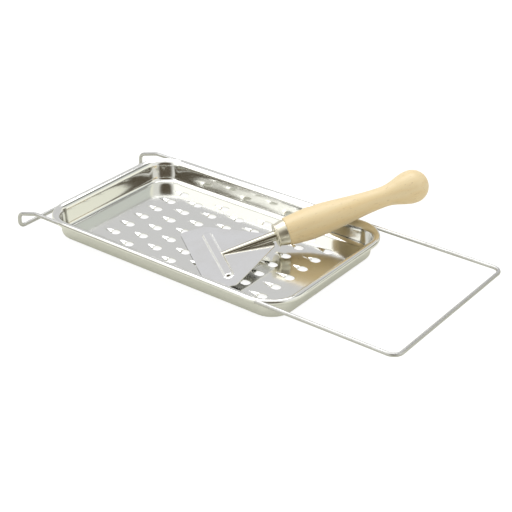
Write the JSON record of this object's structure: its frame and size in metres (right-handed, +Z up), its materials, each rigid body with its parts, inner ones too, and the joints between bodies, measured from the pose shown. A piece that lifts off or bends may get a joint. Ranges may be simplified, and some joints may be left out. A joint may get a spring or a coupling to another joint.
{
  "type": "spaetzle maker",
  "caption": "Shallow pressed metal tray with scooped drop holes in a bent wire frame with pot hook and grip bow, and a loose triangular scraper with a turned wooden handle.",
  "frame": {"origin": "middle of the tray floor's flat underside", "axes": "+X along the tray from the pot hook to the grip bow, +Y across the tray, +Z up out of the tray"},
  "size_m": [0.3956, 0.217, 0.0618],
  "materials": {
    "bright_tin": "mirror-bright tinned sheet with a warm tone",
    "bright_wire": "bright drawn wire",
    "bright_steel": "polished sheet",
    "plain_steel": "plain",
    "beech": "turned and sanded, with a thin clear coat"
  },
  "bodies": {
    "tray_frame": {"tray": "bright_tin", "side_wire_front": "bright_wire", "side_wire_back": "bright_wire", "grip_bow": "bright_wire", "hook_front": "bright_wire", "hook_back": "bright_wire", "hook_bar": "bright_wire"},
    "scraper": {"scraper_blade": "bright_steel", "tang": "plain_steel", "ferrule": "bright_steel", "handle": "beech"}
  },
  "joints": [
    {"name": "scraper_stroke", "type": "slide", "parent": "tray_frame", "child": "scraper", "axis": [1, 0, 0], "range_m": [-0.08, 0.012]}
  ]
}
